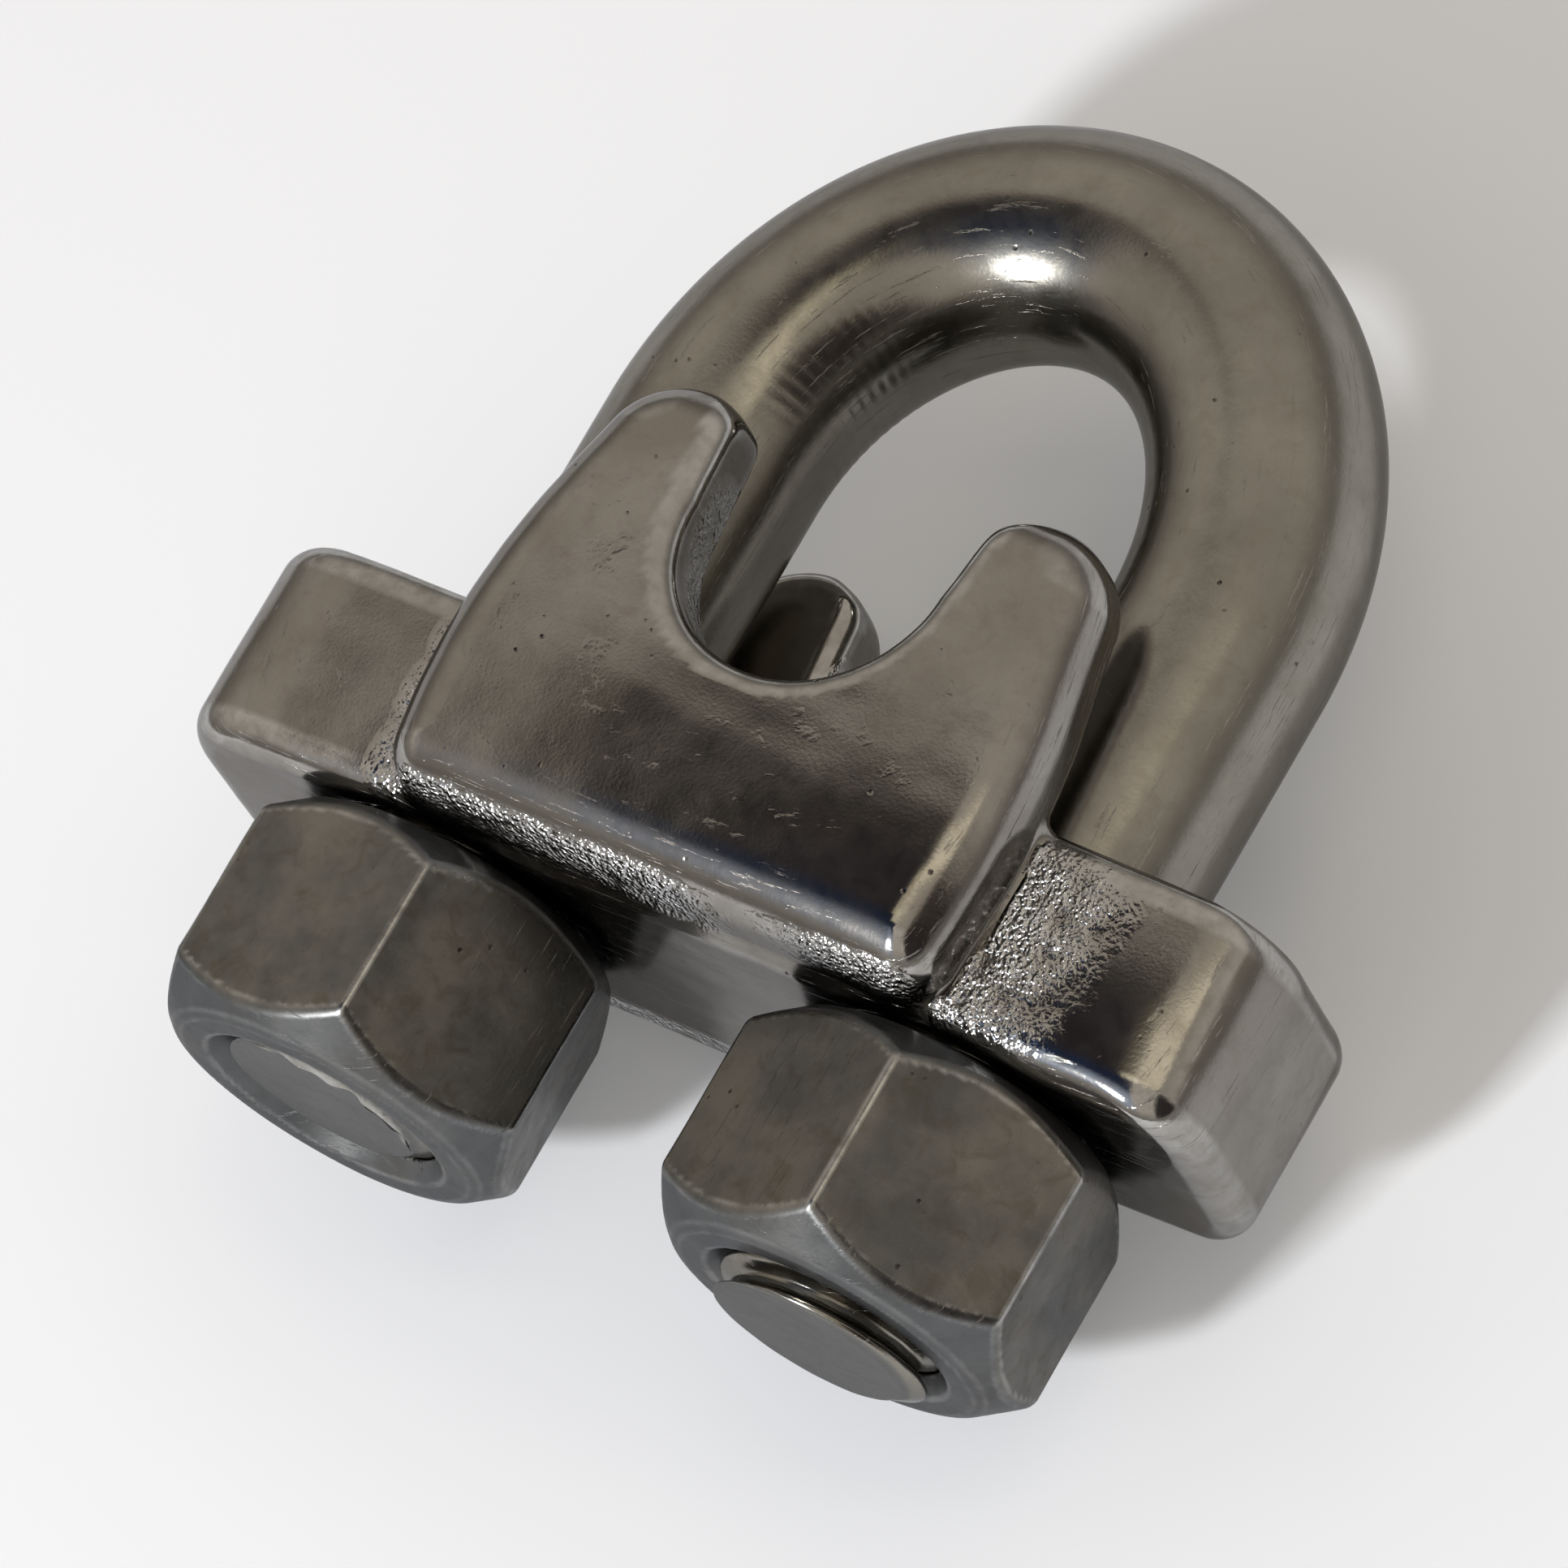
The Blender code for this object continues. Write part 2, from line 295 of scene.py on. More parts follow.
# Lighter convex edges, partly rubbed wear and partly a painted edge highlight: the share kept on machined
# faces, the patchiness and the colour share; the smoothing is rubbed wear
MACHINED_WEAR_AND_HIGHLIGHT = 0.45
RUB_AND_HIGHLIGHT_RANGE = (0.35, 0.6)
RUB_AND_HIGHLIGHT_SHARES = (0.35, 1.0)
WEAR_AND_HIGHLIGHT_SHARE = 0.6
WORN_SMOOTHNESS = 0.06
SKIN_BREAK_RANGE = (0.3, 0.7)
SKIN_BREAK_SHARES = (0.35, 1.5)
SKIN_RANGE = (0.10, 0.95)
SKIN_SHARE = 0.8
SKIN_UNEVEN = 1.1

# Stage and light
FLOOR_SIDE = 12.0
FLOOR_GAP = 0.0002
FLOOR_COLOUR = (0.84, 0.86, 0.90, 1.0)
FLOOR_ROUGHNESS = 0.9
FLOOR_GLOW = (0.96, 0.98, 1.0, 1.0)
FLOOR_GLOW_STRENGTH = 0.12
KEY_FROM = (-0.15, -0.78, 0.606)
STRIP_FROM = (0.30, 0.10, 1.0)
SKY_LOW = (0.32, 0.30, 0.27)
SKY_HIGH = (0.69, 0.63, 0.555)
FLAG_BACK = (0.042, 0.036, 0.042)
FLAG_FRONT = (0.022, 0.036, 0.078)
KEY_GLOW = (0.44, 0.50, 0.62)
SIDE_DARK = (0.05, 0.042, 0.04)

# Soft edges in the sky, as cosines from a direction
SKY_FADE = (0.05, 0.60)
FLAG_FADE = (-0.10, 0.25)
GLOW_FADE = (0.84, 0.99)
FLAG_LOWER_EDGE = (0.25, 0.45)
FLAG_REAR_EDGE = (-0.26, -0.20)
FLAG_LEFT_EDGE = (-0.56, -0.48)
FLAG_RIGHT_EDGE = (-0.14, -0.04)
SIDE_LEFT_EDGE = (0.52, 0.62)
SIDE_REAR_EDGE = (-0.18, -0.04)
SIDE_LOWER_EDGE = (0.10, 0.25)

# Camera, placed in metres
LENS = 347.4
SENSOR_WIDTH = 36.0
SHIFT_X = -0.0028
SHIFT_Y = 0.022
CAMERA_PLACE = (0.3424, -0.2048, 0.6441)
CAMERA_BACK = (0.4613, -0.2649, 0.8468)
CAMERA_UP = (-0.3352, 0.8317, 0.4427)
CLIP_START = 0.01


# ---------------------------------------------------------------- distance fields

def ramp(value, start, end):
    """0 up to start, 1 from end on; it falls where end is the smaller."""
    return np.clip((value - start) / (end - start), 0.0, 1.0)


def smooth(share):
    return share * share * (3 - 2 * share)


def cut(a, b, radius):
    """Keep what is inside both fields, with a rounded edge where they meet."""
    corner = np.hypot(np.maximum(a + radius, 0.0), np.maximum(b + radius, 0.0))
    return np.minimum(-radius, np.maximum(a, b)) + corner


def join(a, b, radius):
    """Keep what is inside either field, with a fillet where they meet."""
    return -cut(-a, -b, radius)


def soft_max(a, b, width):
    """The larger of two fields, blended over width."""
    share = np.maximum(width - np.abs(a - b), 0.0) / width
    return np.maximum(a, b) + share * share * width / 4


def line_field(x, y, start, end):
    """Distance to the right of the line from start up to end."""
    dx = end[0] - start[0]
    dy = end[1] - start[1]
    return ((x - start[0]) * dy - (y - start[1]) * dx) / np.hypot(dx, dy)


def rounded_oblong(x, z, half_x, half_z, corner):
    qx = np.abs(x) - half_x + corner
    qz = np.abs(z) - half_z + corner
    outside = np.hypot(np.maximum(qx, 0.0), np.maximum(qz, 0.0))
    return outside + np.minimum(np.maximum(qx, qz), 0.0) - corner


def ripple(x, y, z, length, seed):
    """A gentle, irregular waviness, mostly between -1 and 1, with waves of about that length."""
    draw = np.random.default_rng(seed)
    total = 0.0
    for _ in range(WAVES):
        way = draw.normal(size=3)
        way = way / np.linalg.norm(way) * 2 * pi / length * draw.uniform(*WAVE_SPREAD)
        total = total + np.sin(x * way[0] + y * way[1] + z * way[2] + draw.uniform(0, 2 * pi))
    return total / sqrt(WAVES) / WAVE_PEAK


def base_field(x, y, z):
    bulge = FLANK_CROWN * x * x + LOWER_CROWN * (CROWN_Y - y) ** 2
    plan = rounded_oblong(x, z, BASE_LENGTH / 2, BASE_DEPTH / 2, BASE_CORNER)
    plan = cut(plan, np.abs(z) - BASE_DEPTH / 2 - FLANK_BULGE + bulge, FLANK_EDGE)
    return cut(cut(plan, y - BASE_HEIGHT, BASE_EDGE), -y, BASE_EDGE)


def notch_field(x, y):
    """The rope's notch: a round bottom, and sides that flare out at the tips of the horns."""
    rise = np.maximum(y - NOTCH_CENTRE_Y, 0.0)
    lip = np.clip(y - SADDLE_HEIGHT + HORN_INNER_TIP, 0.0, LIP_SHARE * HORN_INNER_TIP)
    mouth = HORN_INNER_TIP - np.sqrt(HORN_INNER_TIP ** 2 - lip ** 2)
    channel = np.abs(x) - NOTCH_RADIUS - NOTCH_FLARE * rise - mouth
    bowl = np.hypot(x, y - NOTCH_CENTRE_Y) - NOTCH_RADIUS
    return np.where(y > NOTCH_CENTRE_Y, channel * (1 - NOTCH_FLARE ** 2 / 2), bowl)


def walls_field(x, y, z):
    """Both walls at once: the clip is the same to the left and right, and to the front and rear."""
    ax = np.abs(x)
    az = np.abs(z)
    lower_side = line_field(ax, y, WALL_FOOT, WALL_WAIST)
    upper_side = line_field(ax, y, WALL_WAIST, (HORN_OUTER_X, SADDLE_HEIGHT))
    side = soft_max(lower_side, upper_side, WAIST_BLEND)
    outline = cut(side, y - SADDLE_HEIGHT, HORN_TIP)
    outline = cut(outline, WALL_FOOT[1] - y, BLOCK_FOOT_EDGE)
    above = np.maximum(y - CROWN_Y, 0.0)
    below = np.maximum(CROWN_Y - y, 0.0)
    crown = UPPER_CROWN * above ** 2 + LOWER_CROWN * below ** 2 + FRONT_CROWN * ax ** 2
    wall = cut(outline, az - SADDLE_DEPTH / 2 + crown, FRONT_EDGE)
    wall = cut(wall, WALL_INNER_Z - az, INNER_EDGE)
    return cut(wall, -notch_field(x, y), NOTCH_EDGE)


def saddle_field(points):
    x, y, z = points
    body = join(base_field(x, y, z), walls_field(x, y, z), JUNCTION_FILLET)
    leg = np.hypot(np.abs(x) - LEG_X, z) - HOLE_RADIUS
    body = cut(body, -leg, HOLE_EDGE)
    return body + SWELL_DEPTH * (1 + ripple(x, y, z, **SWELL)) + DIMPLE_DEPTH * ripple(x, y, z, **DIMPLES)


def unpolished(points):
    """1 where the tumbling and polishing didn't reach: the corners beside the block and its foot."""
    x, y, z = points
    ax = np.abs(x)
    az = np.abs(z)
    reach = np.where(x > 0, SKIN_REACH["right"], SKIN_REACH["left"])
    beside = ramp(ax, WALL_FOOT[0] + SKIN_NONE * reach, WALL_FOOT[0] + SKIN_FULL * reach)
    beside = beside * (ax > SKIN_INNER_X) * (walls_field(x, y, z) > WALL_CLEARANCE)
    beside = beside * ramp(az, *SKIN_Z) * ramp(y, *SKIN_Y)
    foot = ramp(y, *SEAM_Y) * ramp(az, *SEAM_INNER_Z) * ramp(az, *SEAM_OUTER_Z) * (ax < SEAM_END_X)
    foot = foot * np.clip(SEAM_MEAN + SEAM_SWING * ripple(x, y, z, **SEAM), 0, 1)
    off_seat = np.abs(np.hypot(x, y - NOTCH_CENTRE_Y) - NOTCH_RADIUS)
    seat = SEAT_SKIN * ramp(off_seat, *SEAT_BAND) * ramp(az, *SEAT_Z)
    return np.maximum(np.maximum(beside, foot), seat)


def thread_radius(turn, y):
    """Radius of the right-hand thread at an angle from +Z toward +X about +Y."""
    phase = (y - THREAD_SHIFT) / PITCH - turn / (2 * pi)
    flank = ramp(np.abs(phase - np.round(phase)), CREST_SHARE, ROOT_SHARE)
    depth = flank * (STRAIGHT_SHARE + (1 - STRAIGHT_SHARE) * flank * (3 - 2 * flank))
    return CREST_RADIUS - (CREST_RADIUS - ROOT_RADIUS) * depth


def hexagon(x, z, half_flats, corner):
    """Distance to a hexagon with corners on the +X axis, rounded along its six edges."""
    angle = np.arctan2(z, x)
    folded = np.abs(angle - np.round(angle / (pi / 3) - 0.5) * (pi / 3) - pi / 6)
    reach = np.hypot(x, z)
    across = reach * np.cos(folded) - half_flats + corner
    along = np.maximum(reach * np.sin(folded) - (half_flats - corner) / sqrt(3), 0.0)
    return np.where(across > 0, np.hypot(across, along), across) - corner


def nut_field(side):
    turn = radians(NUT_TURN[side])
    lean = np.array((CHAMFER_DROP, ACROSS_FLATS / sqrt(3) - CHAMFER_RADIUS))
    lean = lean / np.linalg.norm(lean)

    def field(points):
        x, y, z = points
        turned_x = x * np.cos(turn) + z * np.sin(turn)
        turned_z = z * np.cos(turn) - x * np.sin(turn)
        reach = np.hypot(x, z)
        body = hexagon(turned_x, turned_z, ACROSS_FLATS / 2, NUT_CORNER)
        for beyond in (y - NUT_TOP, NUT_BOTTOM - y):
            body = cut(body, beyond, NUT_EDGE)
            body = cut(body, (reach - CHAMFER_RADIUS) * lean[0] + beyond * lean[1], NUT_EDGE)
        grooves = thread_radius(np.arctan2(x, z), y) + THREAD_CLEARANCE
        mouth = MOUTH_RADIUS - np.minimum(NUT_TOP - y, y - NUT_BOTTOM)
        bore = np.maximum(grooves, mouth)
        body = cut(body, (bore - reach) * THREAD_SLOPE, THREAD_EDGE)
        swell = NUT_SWELL_DEPTH * (1 + ripple(x, y, z, **NUT_SWELL))
        return body + swell * ramp(reach, *NUT_SWELL_REACH)

    return field


def gradient(field, points, step=0.02):
    slopes = []
    for axis in range(3):
        shift = np.zeros((3, 1))
        shift[axis] = step
        slopes.append((field(points + shift) - field(points - shift)) / (2 * step))
    return np.array(slopes)


def edge_wear_and_highlight(field, points, flat, sharp, step=0.12):
    """0 where the surface is flatter than flat, 1 where it bends outward more than sharp, in 1/mm. Used as
    the mask of the edges painted lighter: partly rubbed wear, partly a painted edge highlight.
    """
    bend = 0.0
    for axis in range(3):
        shift = np.zeros((3, 1))
        shift[axis] = step
        bend = bend + (field(points + shift) + field(points - shift) - 2 * field(points)) / step ** 2
    return ramp(bend, flat, sharp)


# ---------------------------------------------------------------- meshes

def surface_of(field, low, high, step):
    """Vertices (3, n) and quads (m, 4) of the field's zero surface: one vertex in each crossed cell."""
    axes = [np.arange(a - 2 * step, b + 2 * step, step) for a, b in zip(low, high)]
    grid = np.meshgrid(*axes, indexing="ij")
    value = field(np.array(grid).reshape(3, -1)).reshape(grid[0].shape)
    inside = value < 0
    cells = tuple(n - 1 for n in value.shape)
    corners = [(i, j, k) for i in (0, 1) for j in (0, 1) for k in (0, 1)]

    def at(array, corner):
        return array[tuple(slice(c, c + n) for c, n in zip(corner, cells))]

    count_inside = sum(at(inside, c).astype(int) for c in corners)
    crossed = (count_inside > 0) & (count_inside < len(corners))
    index = np.argwhere(crossed)
    total = np.zeros((len(index), 3))
    crossings = np.zeros(len(index))
    for axis in range(3):
        for start in [c for c in corners if c[axis] == 0]:
            end = tuple(c + (n == axis) for n, c in enumerate(start))
            first = value[tuple((index + start).T)]
            last = value[tuple((index + end).T)]
            hit = (first < 0) != (last < 0)
            share = first[hit] / (first[hit] - last[hit])
            spot = np.tile(np.array(start, float), (hit.sum(), 1))
            spot[:, axis] += share
            total[hit] += spot
            crossings[hit] += 1
    origin = np.array([axis[0] for axis in axes])
    points = (origin + (index + total / crossings[:, None]) * step).T
    number = np.full(cells, -1)
    number[tuple(index.T)] = np.arange(len(index))
    quads = []
    for axis in range(3):
        ahead = [slice(None)] * 3
        behind = [slice(None)] * 3
        ahead[axis] = slice(1, None)
        behind[axis] = slice(None, -1)
        change = inside[tuple(behind)].astype(int) - inside[tuple(ahead)].astype(int)
        u, v = [n for n in range(3) if n != axis]
        for sign in (1, -1):
            spots = np.argwhere(change == sign)
            spots = spots[(spots[:, u] > 0) & (spots[:, v] > 0)]
            ring = []
            for du, dv in ((1, 1), (0, 1), (0, 0), (1, 0)):
                cell = spots.copy()
                cell[:, u] -= du
                cell[:, v] -= dv
                ring.append(number[tuple(cell.T)])
            ring = np.array(ring).T
            forward = (sign > 0) == (axis != 1)
            quads.append(ring if forward else ring[:, ::-1])
    for _ in range(SETTLE_ROUNDS):
        slope = gradient(field, points)
        points = points - slope * field(points) / np.maximum((slope ** 2).sum(0), LEAST_SLOPE)
    return points, np.concatenate(quads)


def to_world(points):
    return np.array(CLIP_ORIGIN)[None, :] + points.T * MM


def make_piece(name, points, faces, normals=None):
    """A smooth mesh object in the frame, from clip millimetres."""
    mesh = bpy.data.meshes.new(name)
    mesh.from_pydata(to_world(points).tolist(), [], faces)
    mesh.shade_smooth()
    if normals is not None:
        unit = normals / np.maximum(np.linalg.norm(normals, axis=0), 1e-9)
        mesh.normals_split_custom_set_from_vertices(unit.T.tolist())
    piece = bpy.data.objects.new(name, mesh)
    bpy.context.scene.collection.objects.link(piece)
    return piece


def dress(piece, material, node):
    """Give a piece its material and stand it in for its CAD node."""
    piece.data.materials.append(material)
    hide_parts(node)
    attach(piece, node)


def mark(piece, name, values):
    """Give each vertex a number that the material reads."""
    attribute = piece.data.attributes.new(name, "FLOAT", "POINT")
    attribute.data.foreach_set("value", values.astype(np.float32))


def make_saddle(material):
    low = (-BASE_LENGTH / 2, 0.0, -SADDLE_DEPTH / 2)
    high = (BASE_LENGTH / 2, SADDLE_HEIGHT, SADDLE_DEPTH / 2)
    points, quads = surface_of(saddle_field, low, high, SADDLE_STEP)
    piece = make_piece("saddle_casting", points, quads.tolist(), gradient(saddle_field, points))
    mark(piece, "cast", unpolished(points))
    # Convex edges painted lighter in the material: partly rubbed wear, partly a painted edge highlight
    mark(piece, "worn_and_highlit", edge_wear_and_highlight(saddle_field, points, *SADDLE_BENDS))
    dress(piece, material, "saddle")


def make_nut(side, material):
    field = nut_field(side)
    reach = ACROSS_FLATS / sqrt(3)
    points, quads = surface_of(field, (-reach, NUT_BOTTOM, -reach), (reach, NUT_TOP, reach), NUT_STEP)
    normals = gradient(field, points)
    # Convex edges painted lighter in the material: partly rubbed wear, partly a painted edge highlight
    wear_and_highlight = edge_wear_and_highlight(field, points, *NUT_BENDS)
    points[0] += LEG_X if side == "right" else -LEG_X
    piece = make_piece("nut_" + side + "_hex", points, quads.tolist(), normals)
    steep = np.abs(normals[1]) / np.linalg.norm(normals, axis=0)
    mark(piece, "machined", ramp(steep, *NUT_FACE_SLOPES))
    mark(piece, "worn_and_highlit", wear_and_highlight)
    dress(piece, material, "nut_" + side)


def teeth(turn, waves):
    """Uneven height around a rim, as a sum of waves."""
    return sum(height * np.sin(count * turn + phase) for count, height, phase in waves)


def leg_radius(turn, y, end_y):
    """Radius of a threaded leg: rounded at its sheared end, threaded, then the full bar."""
    short = np.clip(END_FILLET - (y - end_y), 0, END_FILLET)
    sheared = END_RAGGED * (np.sin(END_LOBES * turn + end_y) + teeth(turn, END_TEETH))
    rounding = END_FILLET - np.sqrt(END_FILLET ** 2 - short ** 2)
    threaded = thread_radius(turn, y) - rounding + sheared * short / END_FILLET
    runout = smooth(ramp(y, THREAD_TOP, THREAD_TOP + THREAD_RUNOUT))
    return threaded + (BAR_RADIUS - threaded) * runout


def burr(turn, side):
    """Height of the torn lip that the cutter left along part of a leg's rim."""
    away = (turn - BURR_MIDDLE[side] + pi) % (2 * pi) - pi
    share = np.clip(1 - (away / BURR_HALF[side]) ** 2, 0, 1)
    return BURR_HEIGHT * np.sqrt(share) * (BURR_MEAN + teeth(turn, BURR_TEETH))


def leg_stations(end_y):
    """Heights up a leg: close together at the rounded end and along the thread, then wider."""
    rim = end_y + END_FILLET * (1 - np.cos(np.linspace(RIM_START, pi / 2, RIM_RINGS)))
    thread = np.arange(rim[-1] + RING_GAP, THREAD_TOP + THREAD_RUNOUT, PITCH / RINGS_PER_PITCH)
    shank = np.linspace(THREAD_TOP + THREAD_RUNOUT + SHANK_GAP, BOW_CENTRE_Y, SHANK_RINGS)[:-1]
    return np.concatenate((rim, thread, shank))


def chatter(angle, spin):
    """Depth of the small marks that the bending former left inside the bow."""
    share = (np.degrees(angle) - CHATTER_FROM) / (CHATTER_TO - CHATTER_FROM)
    if not 0 < share < 1:
        return 0.0 * spin
    inner = np.sqrt(np.clip(-np.cos(spin) - CHATTER_LIMIT, 0, 1))
    waves = CHATTER_WAVES * share + CHATTER_SKEW * np.sin(CHATTER_BENDS * spin)
    return CHATTER_DEPTH * (0.5 - 0.5 * np.cos(2 * pi * waves)) * np.sin(pi * share) * inner


def around_leg(side):
    """Spins round a leg, outward first, with their x and z parts and their turns about +Y."""
    spin = np.linspace(0, 2 * pi, AROUND, endpoint=False)
    out = side * np.cos(spin)
    up = np.sin(spin)
    return out, up, np.arctan2(out, up)


def leg_rings(name, side, end_y):
    """Rings of a leg, from its sheared rim up to the bow."""
    out, up, turn = around_leg(side)
    rings = []
    for y in leg_stations(end_y):
        lip = burr(turn, name) * ramp(y, end_y + BURR_DEPTH, end_y)
        place = y - lip * BURR_LEAN[name]
        radius = leg_radius(turn, place, end_y) + lip * BURR_SPREAD[name]
        rings.append(np.array((side * LEG_X + radius * out, place, radius * up)))
    return rings


def end_rings(name, side, end_y):
    """Rings of a leg's flat end face, from its middle to its rim."""
    out, up, turn = around_leg(side)
    face = leg_radius(turn, end_y - burr(turn, name) * BURR_LEAN[name], end_y)
    rings = []
    for share in END_SHARES:
        dish = END_DISH * (1 - share ** 2)
        lip = burr(turn, name) * ramp(share, BURR_INNER, 1.0)
        reach = face * share + lip * BURR_SPREAD[name]
        place = end_y + dish - lip * BURR_LEAN[name]
        rings.append(np.array((side * LEG_X + reach * out, place, reach * up)))
    return rings


def bow_rings():
    """Rings of the half-elliptical bow, from the right leg to the left leg."""
    spin = np.linspace(0, 2 * pi, AROUND, endpoint=False)
    rise = BOW_TOP - BAR_RADIUS - BOW_CENTRE_Y
    rings = []
    for angle in np.linspace(0, pi, BOW_RINGS):
        out = Vector((np.cos(angle) * rise, np.sin(angle) * LEG_X)).normalized()
        radius = BAR_RADIUS - chatter(angle, spin)
        ring_x = LEG_X * np.cos(angle) + radius * np.cos(spin) * out.x
        ring_y = BOW_CENTRE_Y + rise * np.sin(angle) + radius * np.cos(spin) * out.y
        rings.append(np.array((ring_x, ring_y, radius * np.sin(spin))))
    return rings


def make_u_bolt(material):
    right, left = [end_rings(*leg) + leg_rings(*leg) for leg in LEGS]
    rings = right + bow_rings() + left[::-1]
    points = np.concatenate(rings, axis=1)
    around = np.arange(AROUND)
    after = (around + 1) % AROUND
    faces = []
    for ring in range(len(rings) - 1):
        here = ring * AROUND
        there = here + AROUND
        faces += np.array((here + around, there + around, there + after, here + after)).T.tolist()
    last = (len(rings) - 1) * AROUND
    faces.append(around.tolist())
    faces.append((last + around[::-1]).tolist())
    piece = make_piece("u_bolt_bar", points, faces)
    piece.data.set_sharp_from_angle(angle=radians(SHARP_ANGLE))
    above_end = points[1] - np.where(points[0] > 0, RIGHT_END_Y, LEFT_END_Y)
    mark(piece, "machined", ramp(above_end, *END_BAND) * (above_end > -END_MARGIN))
    # The rim of each sheared end painted lighter in the material: partly rubbed wear, partly a painted
    # highlight on the rim
    mark(piece, "worn_and_highlit", ramp(above_end, 0.0, -END_WEAR_AND_HIGHLIGHT))
    dress(piece, material, "u_bolt")


# ---------------------------------------------------------------- node trees

class Tree:
    """Short names for the nodes of one material or of the world."""

    def __init__(self, owner, coords):
        owner.use_nodes = True
        self.nodes = owner.node_tree.nodes
        self.links = owner.node_tree.links
        self.coords = self.nodes.new("ShaderNodeTexCoord").outputs[coords]

    def feed(self, socket, value):
        if isinstance(value, bpy.types.NodeSocket):
            self.links.new(value, socket)
        else:
            socket.default_value = value

    def noise(self, scale, detail=3.0, rough=0.55, coords=None, distortion=0.0):
        node = self.nodes.new("ShaderNodeTexNoise")
        self.feed(node.inputs["Vector"], coords or self.coords)
        node.inputs["Scale"].default_value = scale
        node.inputs["Detail"].default_value = detail
        node.inputs["Roughness"].default_value = rough
        node.inputs["Distortion"].default_value = distortion
        return node.outputs["Fac"]

    def stretched(self, scale, turn):
        node = self.nodes.new("ShaderNodeMapping")
        self.feed(node.inputs["Vector"], self.coords)
        node.inputs["Rotation"].default_value = turn
        node.inputs["Scale"].default_value = scale
        return node.outputs["Vector"]

    def spots(self, scale, size):
        """1 in scattered round spots, 0 between them."""
        node = self.nodes.new("ShaderNodeTexVoronoi")
        self.feed(node.inputs["Vector"], self.coords)
        node.inputs["Scale"].default_value = scale
        return self.span(node.outputs["Distance"], size, size * PIT_CORE)

    def cells(self, scale):
        """Round grains about 1 / scale across."""
        node = self.nodes.new("ShaderNodeTexVoronoi")
        node.feature = "SMOOTH_F1"
        self.feed(node.inputs["Vector"], self.coords)
        node.inputs["Scale"].default_value = scale
        return self.span(node.outputs["Distance"], 0.0, SKIN_GRAIN_SIZE, 1.0, 0.0)

    def span(self, value, low, high, to_low=0.0, to_high=1.0):
        node = self.nodes.new("ShaderNodeMapRange")
        self.feed(node.inputs["Value"], value)
        limits = {"From Min": low, "From Max": high, "To Min": to_low, "To Max": to_high}
        for name, number in limits.items():
            node.inputs[name].default_value = number
        return node.outputs["Result"]

    def toward(self, way, low, high):
        """0 to 1 as a direction turns toward way: low and high are cosines."""
        dot = self.nodes.new("ShaderNodeVectorMath")
        dot.operation = "DOT_PRODUCT"
        self.feed(dot.inputs[0], self.coords)
        dot.inputs[1].default_value = Vector(way).normalized()
        share = self.span(dot.outputs["Value"], low, high)
        share.node.interpolation_type = "SMOOTHSTEP"
        return share

    def math(self, operation, a, b):
        node = self.nodes.new("ShaderNodeMath")
        node.operation = operation
        self.feed(node.inputs[0], a)
        self.feed(node.inputs[1], b)
        return node.outputs["Value"]

    def times(self, first, *others):
        for other in others:
            first = self.math("MULTIPLY", first, other)
        return first

    def blend(self, share, a, b):
        node = self.nodes.new("ShaderNodeMix")
        node.data_type = "RGBA"
        self.feed(node.inputs["Factor"], share)
        self.feed(node.inputs["A"], a if isinstance(a, bpy.types.NodeSocket) else (*a, 1.0))
        self.feed(node.inputs["B"], b if isinstance(b, bpy.types.NodeSocket) else (*b, 1.0))
        return node.outputs["Result"]

    def attribute(self, name):
        node = self.nodes.new("ShaderNodeAttribute")
        node.attribute_name = name
        return node.outputs["Fac"]

    def bump(self, height, distance, strength, below=None):
        node = self.nodes.new("ShaderNodeBump")
        self.feed(node.inputs["Height"], height)
        node.inputs["Distance"].default_value = distance
        node.inputs["Strength"].default_value = strength
        if below is not None:
            self.feed(node.inputs["Normal"], below)
        return node.outputs["Normal"]


# ---------------------------------------------------------------- materials

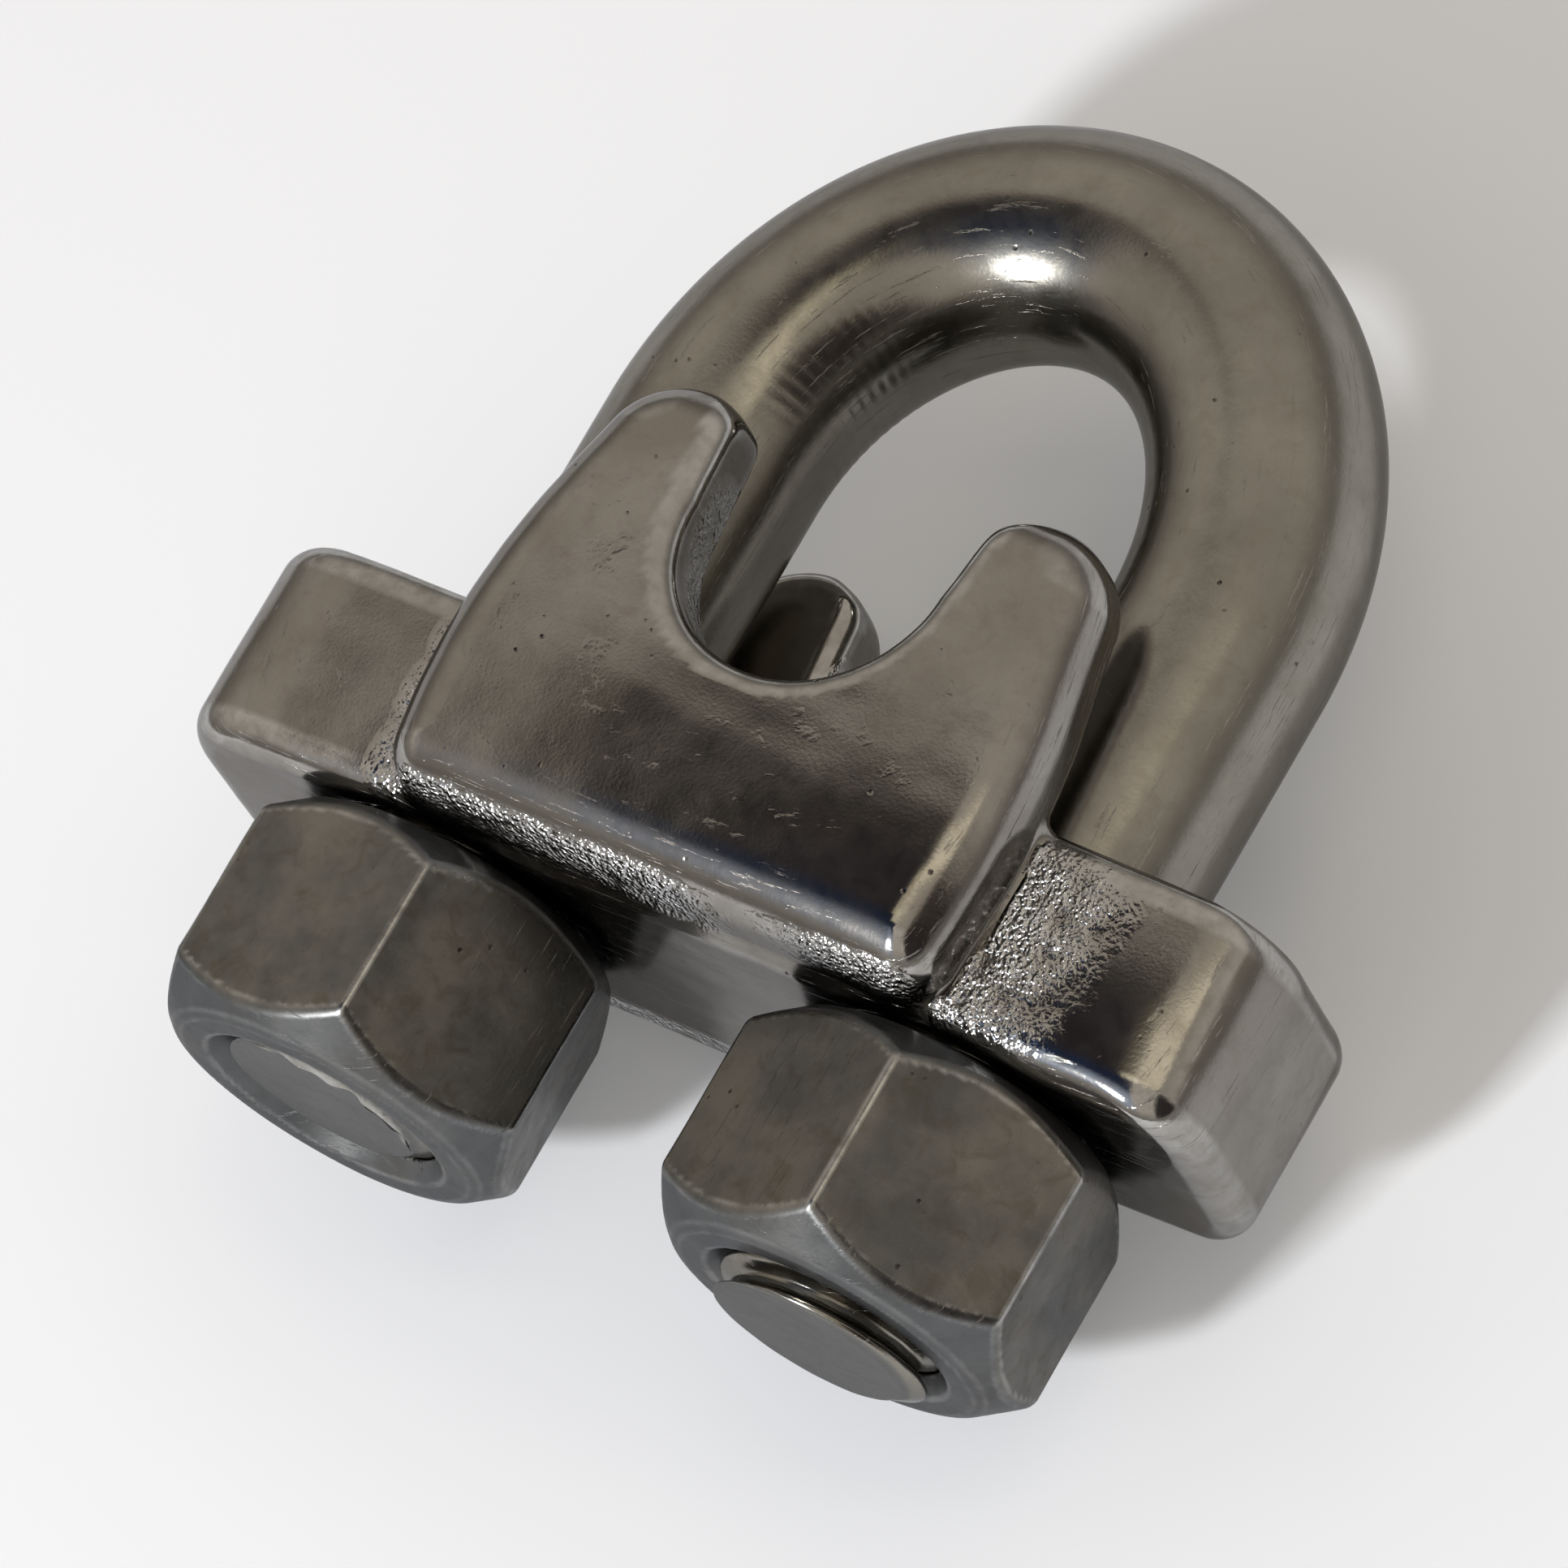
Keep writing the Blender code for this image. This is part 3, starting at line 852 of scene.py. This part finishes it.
def stainless(name, light, dark, stain, rough, stained, scratch_turn, cast=False):
    """Tumbled stainless steel: clouded colour, stains, scratches, pits, edges painted lighter (partly
    rubbed wear, partly a painted edge highlight) and cast skin.
    """
    material = bpy.data.materials.new(name)
    tree = Tree(material, "Object")
    clouds = tree.noise(CLOUD_SCALE, detail=4.0, rough=0.6)
    mottle = tree.noise(MOTTLE_SCALE, detail=6.0, rough=0.65, distortion=0.6)
    grain = tree.noise(GRAIN_SCALE, detail=3.0, rough=0.6)
    along = tree.stretched(SCRATCH_SCALE, scratch_turn)
    streaks = tree.span(tree.noise(1.0, detail=4.0, rough=0.7, coords=along), *SCRATCH_RANGE)
    pit_field = tree.span(tree.noise(PIT_FIELD_SCALE), *PIT_RANGE)
    pits = tree.times(tree.spots(PIT_SCALE, PIT_SIZE), pit_field)

    colour = tree.blend(tree.span(clouds, *CLOUD_RANGE), dark, light)
    colour = tree.blend(tree.span(mottle, *STAIN_RANGE, 0.0, stained), colour, stain)
    colour = tree.blend(tree.span(grain, *GRIME_RANGE, 0.0, GRIME_SHARE), colour, GRIME)
    colour = tree.blend(tree.times(pits, PIT_SHARE), colour, PIT_DARK)
    roughness = tree.span(mottle, *ROUGH_RANGE, rough * ROUGH_LEAST, rough * ROUGH_MOST)
    roughness = tree.math("ADD", roughness, tree.times(streaks, SCRATCH_ROUGHNESS))

    normal = tree.bump(tree.noise(DENT_SCALE, detail=2.0), DENT_DEPTH, strength=0.25)
    normal = tree.bump(grain, GRAIN_DEPTH, strength=0.35, below=normal)
    normal = tree.bump(streaks, SCRATCH_DEPTH, strength=0.6, below=normal)
    normal = tree.bump(tree.times(pits, -1.0), PIT_DEPTH, strength=0.8, below=normal)

    machined = tree.span(tree.attribute("machined"), 0.0, 1.0, 0.0, MACHINED_SHARE)
    colour = tree.blend(machined, colour, MACHINED_GREY)
    roughness = tree.math("ADD", roughness, tree.times(machined, MACHINED_ROUGHNESS))
    # Convex edges painted a lighter grey: partly rubbed wear, partly a painted edge highlight; the
    # smoothing that goes with it is wear
    rubbed = tree.span(tree.noise(RUB_AND_HIGHLIGHT_SCALE, detail=4.0), *RUB_AND_HIGHLIGHT_RANGE, *RUB_AND_HIGHLIGHT_SHARES)
    less = tree.span(machined, 0.0, MACHINED_SHARE, 1.0, MACHINED_WEAR_AND_HIGHLIGHT)
    worn_and_highlit = tree.times(tree.attribute("worn_and_highlit"), rubbed, less)
    colour = tree.blend(tree.times(worn_and_highlit, WEAR_AND_HIGHLIGHT_SHARE), colour, RUBBED_AND_HIGHLIGHT_GREY)
    roughness = tree.math("SUBTRACT", roughness, tree.times(worn_and_highlit, WORN_SMOOTHNESS))

    if cast:
        broken = tree.span(tree.noise(SKIN_BREAK_SCALE, detail=4.0), *SKIN_BREAK_RANGE, *SKIN_BREAK_SHARES)
        skin = tree.span(tree.times(tree.attribute("cast"), broken), *SKIN_RANGE)
        uneven = tree.times(tree.noise(SKIN_NOISE_SCALE), SKIN_UNEVEN)
        grains = tree.math("ADD", tree.cells(SKIN_GRAIN_SCALE), uneven)
        normal = tree.bump(tree.times(skin, grains), SKIN_DEPTH, strength=1.0, below=normal)
        colour = tree.blend(tree.times(skin, SKIN_SHARE), colour, SKIN_GREY)
    shader = tree.nodes["Principled BSDF"]
    tree.feed(shader.inputs["Base Color"], colour)
    tree.feed(shader.inputs["Roughness"], roughness)
    tree.feed(shader.inputs["Normal"], normal)
    shader.inputs["Metallic"].default_value = 1.0
    shader.inputs["Specular Tint"].default_value = GRAZING_TINT
    return material


# ---------------------------------------------------------------- stage, light and camera

def make_floor():
    half = FLOOR_SIDE / 2
    mesh = bpy.data.meshes.new("floor")
    corners = [(-half, -half, 0.0), (half, -half, 0.0), (half, half, 0.0), (-half, half, 0.0)]
    mesh.from_pydata(corners, [], [(0, 1, 2, 3)])
    floor = bpy.data.objects.new("floor", mesh)
    bpy.context.scene.collection.objects.link(floor)
    floor.location.z = cad_low.z - FLOOR_GAP
    material = bpy.data.materials.new("pale_floor")
    material.use_nodes = True
    shader = material.node_tree.nodes["Principled BSDF"]
    shader.inputs["Base Color"].default_value = FLOOR_COLOUR
    shader.inputs["Roughness"].default_value = FLOOR_ROUGHNESS
    shader.inputs["Emission Color"].default_value = FLOOR_GLOW
    shader.inputs["Emission Strength"].default_value = FLOOR_GLOW_STRENGTH
    mesh.materials.append(material)


def make_panel(name, direction, distance, size, power, colour):
    """A soft rectangular light that faces the clip from a direction."""
    light = bpy.data.lights.new(name, "AREA")
    light.shape = "RECTANGLE"
    light.size, light.size_y = size
    light.energy = power
    light.color = colour
    panel = bpy.data.objects.new(name, light)
    panel.location = Vector(direction).normalized() * distance
    panel.rotation_euler = Vector(direction).to_track_quat("Z", "Y").to_euler()
    bpy.context.scene.collection.objects.link(panel)


def make_lights():
    make_panel("key", KEY_FROM, distance=0.9, size=(0.10, 0.10), power=5.5, colour=(1.0, 1.0, 1.0))
    make_panel("strip", STRIP_FROM, distance=1.0, size=(0.13, 0.7), power=0.33, colour=(1.0, 0.91, 0.66))


def make_world():
    """A warm grey studio with a dark flag in front and another at the right, as soft gradients."""
    world = bpy.data.worlds.new("studio")
    tree = Tree(world, "Generated")
    sky = tree.blend(tree.toward(UP, *SKY_FADE), SKY_LOW, SKY_HIGH)

    flag = tree.blend(tree.toward(FRONT, *FLAG_FADE), FLAG_BACK, FLAG_FRONT)
    flag = tree.blend(tree.toward(KEY_FROM, *GLOW_FADE), flag, KEY_GLOW)
    overhead = tree.toward(UP, *FLAG_LOWER_EDGE)
    in_front = tree.toward(FRONT, *FLAG_REAR_EDGE)
    not_left = tree.toward(RIGHT, *FLAG_LEFT_EDGE)
    not_right = tree.toward(LEFT, *FLAG_RIGHT_EDGE)
    sky = tree.blend(tree.times(overhead, in_front, not_left, not_right), sky, flag)

    beside = tree.toward(RIGHT, *SIDE_LEFT_EDGE)
    not_behind = tree.toward(FRONT, *SIDE_REAR_EDGE)
    above_floor = tree.toward(UP, *SIDE_LOWER_EDGE)
    sky = tree.blend(tree.times(beside, not_behind, above_floor), sky, SIDE_DARK)
    tree.feed(tree.nodes["Background"].inputs["Color"], sky)
    bpy.context.scene.world = world


def make_camera():
    data = bpy.data.cameras.new("camera")
    data.lens = LENS
    data.sensor_width = SENSOR_WIDTH
    data.shift_x = SHIFT_X
    data.shift_y = SHIFT_Y
    data.clip_start = CLIP_START
    camera = bpy.data.objects.new("camera", data)
    bpy.context.scene.collection.objects.link(camera)
    back = Vector(CAMERA_BACK).normalized()
    side = Vector(CAMERA_UP).cross(back).normalized()
    up = back.cross(side)
    turn = Matrix((side, up, back)).transposed().to_4x4()
    camera.matrix_world = Matrix.Translation(CAMERA_PLACE) @ turn
    bpy.context.scene.camera = camera


def main():
    metals = {name: stainless(name, **look) for name, look in METALS.items()}
    make_saddle(metals["cast_steel"])
    make_u_bolt(metals["bar_steel"])
    for side in NUT_TURN:
        make_nut(side, metals["nut_steel"])
    make_floor()
    make_world()
    make_lights()
    make_camera()
    bpy.context.scene.view_settings.view_transform = "Standard"


main()
